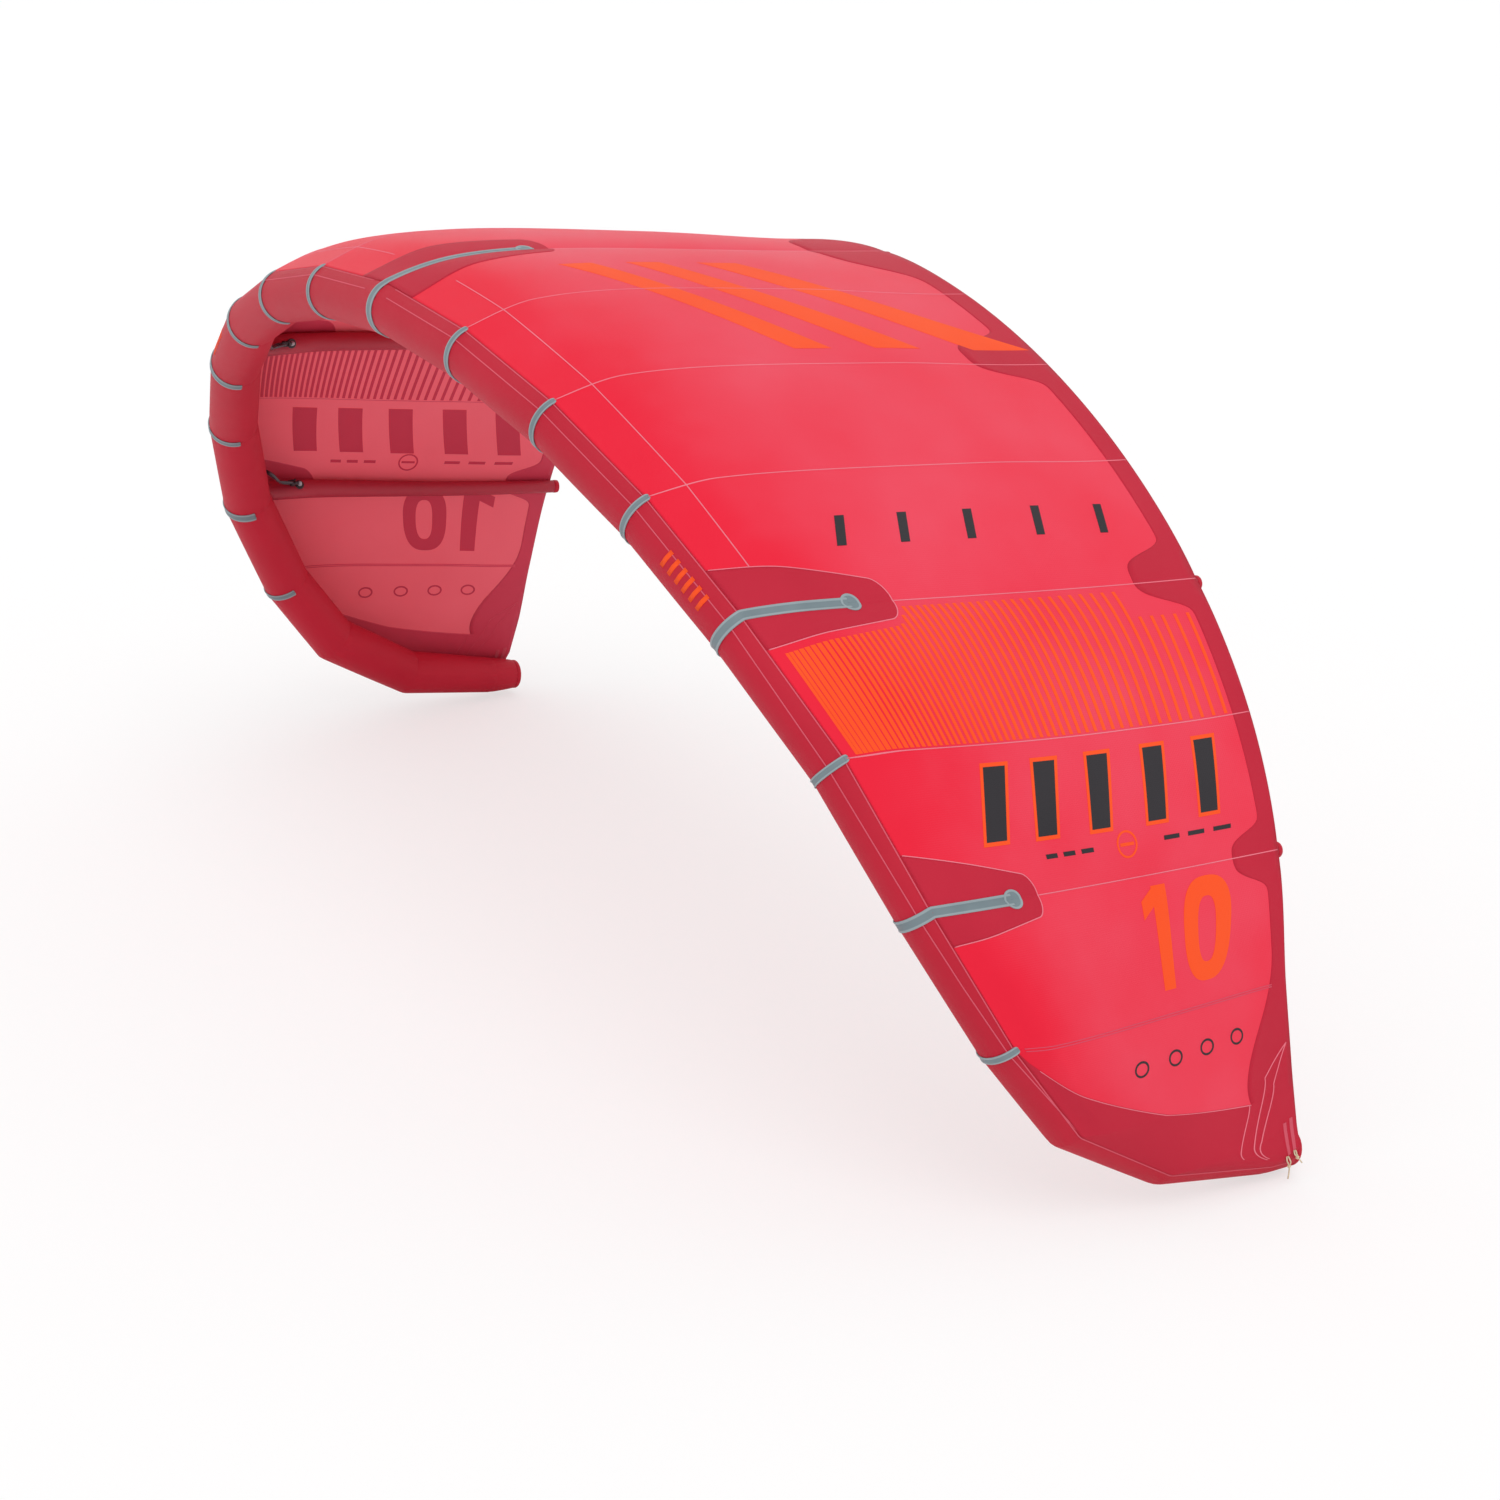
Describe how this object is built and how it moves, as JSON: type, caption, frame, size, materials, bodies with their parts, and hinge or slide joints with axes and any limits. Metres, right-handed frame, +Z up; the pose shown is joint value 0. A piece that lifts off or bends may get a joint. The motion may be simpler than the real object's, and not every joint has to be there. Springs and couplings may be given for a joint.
{
  "type": "kitesurf kite",
  "caption": "Inflatable arched kitesurf kite: tubular leading edge, struts under a ripstop canopy, wing tip lines, pump hoses with clips and an inflation valve.",
  "frame": {"origin": "axis of the leading edge tube at mid span", "axes": "+X to the right wing tip, +Y back along the chord to the trailing edge, +Z up through the middle of the arch"},
  "size_m": [5.0276, 1.792, 2.2609],
  "materials": {
    "reinforced_cloth": "dense woven polyester, coated, dark red",
    "canopy_cloth": "thin ripstop polyester, coral red",
    "seam_strip": "moulded grey scuff strip",
    "bladder_film": "thin clear film",
    "end_cap": "dark red reinforced cloth cap",
    "fitting_plastic": "grey welded fitting",
    "hose_rubber": "dark flexible hose",
    "clip_plastic": "black moulded plastic",
    "valve_plastic": "pale grey moulded plastic",
    "flap_rubber": "soft silicone flap",
    "webbing": "flat woven webbing, pale red",
    "tip_line": "braided line, beige"
  },
  "bodies": {
    "kite": {"canopy_panel_1": "canopy_cloth", "canopy_panel_2": "canopy_cloth", "canopy_panel_3": "canopy_cloth", "canopy_panel_4": "canopy_cloth", "canopy_panel_5": "canopy_cloth", "canopy_panel_6": "canopy_cloth", "canopy_panel_7": "canopy_cloth", "centre_strut_bladder": "bladder_film", "centre_strut_casing": "reinforced_cloth", "edge_hose_fittings": "fitting_plastic", "hose_clips": "clip_plastic", "inflation_valve_body": "valve_plastic", "inner_struts_bladder": "bladder_film", "inner_struts_casing": "reinforced_cloth", "leading_edge_bladder": "bladder_film", "leading_edge_segment_01": "reinforced_cloth", "leading_edge_segment_02": "reinforced_cloth", "leading_edge_segment_03": "reinforced_cloth", "leading_edge_segment_04": "reinforced_cloth", "leading_edge_segment_05": "reinforced_cloth", "leading_edge_segment_06": "reinforced_cloth", "leading_edge_segment_07": "reinforced_cloth", "leading_edge_segment_08": "reinforced_cloth", "leading_edge_segment_09": "reinforced_cloth", "leading_edge_segment_10": "reinforced_cloth", "leading_edge_segment_11": "reinforced_cloth", "leading_edge_tip_caps": "reinforced_cloth", "left_front_tip_line": "tip_line", "left_rear_tip_line": "tip_line", "one_pump_hoses": "hose_rubber", "outer_struts_bladder": "bladder_film", "outer_struts_casing": "reinforced_cloth", "pump_leash_loop": "webbing", "right_front_tip_line": "tip_line", "right_rear_tip_line": "tip_line", "seam_strips_long": "seam_strip", "seam_strips_short": "seam_strip", "strut_end_caps": "end_cap", "strut_hose_fittings": "fitting_plastic", "strut_patches": "reinforced_cloth", "tip_line_knots": "tip_line", "tip_line_strands": "tip_line", "tip_webbing": "webbing", "trailing_edge_band": "reinforced_cloth", "wing_tip_panels": "reinforced_cloth"},
    "centre_clip_lever": {"centre_clip_lever": "clip_plastic"},
    "right_inner_clip_lever": {"right_inner_clip_lever": "clip_plastic"},
    "left_inner_clip_lever": {"left_inner_clip_lever": "clip_plastic"},
    "right_outer_clip_lever": {"right_outer_clip_lever": "clip_plastic"},
    "left_outer_clip_lever": {"left_outer_clip_lever": "clip_plastic"},
    "valve_cap": {"valve_cap": "valve_plastic"},
    "valve_lock_ring": {"valve_lock_ring": "clip_plastic"},
    "valve_check_flap": {"valve_check_flap": "flap_rubber"}
  },
  "joints": [
    {"name": "centre_clip_lever_hinge", "type": "hinge", "parent": "kite", "child": "centre_clip_lever", "pos_m": [0.06012, 0.19548, 0.06037], "axis": [0.4226, -0.0569, 0.9045], "range_deg": [0, 100]},
    {"name": "right_inner_clip_lever_hinge", "type": "hinge", "parent": "kite", "child": "right_inner_clip_lever", "pos_m": [1.73117, 0.38014, -0.49954], "axis": [-0.2049, -0.0598, -0.977], "range_deg": [0, 100]},
    {"name": "left_inner_clip_lever_hinge", "type": "hinge", "parent": "kite", "child": "left_inner_clip_lever", "pos_m": [-1.73117, 0.38014, -0.49954], "axis": [-0.2049, 0.0598, 0.977], "range_deg": [0, 100]},
    {"name": "right_outer_clip_lever_hinge", "type": "hinge", "parent": "kite", "child": "right_outer_clip_lever", "pos_m": [2.28132, 0.6076, -1.1437], "axis": [-0.6369, -0.134, -0.7592], "range_deg": [0, 100]},
    {"name": "left_outer_clip_lever_hinge", "type": "hinge", "parent": "kite", "child": "left_outer_clip_lever", "pos_m": [-2.28132, 0.6076, -1.1437], "axis": [-0.6369, 0.134, 0.7592], "range_deg": [0, 100]},
    {"name": "valve_cap_hinge", "type": "hinge", "parent": "kite", "child": "valve_cap", "pos_m": [0.21698, 0.07122, -0.10898], "axis": [0.0219, 0.8164, 0.5771], "range_deg": [0, 110]},
    {"name": "valve_lock_ring_turn", "type": "hinge", "parent": "kite", "child": "valve_lock_ring", "pos_m": [0.24078, 0.06003, -0.09405], "axis": [-0.0913, 0.5764, -0.812], "range_deg": [0, 60]},
    {"name": "valve_check_flap_hinge", "type": "hinge", "parent": "kite", "child": "valve_check_flap", "pos_m": [0.22867, 0.06059, -0.09438], "axis": [-0.0219, -0.8164, -0.5771], "range_deg": [0, 70], "stiffness_Nm_per_rad": 0.002}
  ]
}
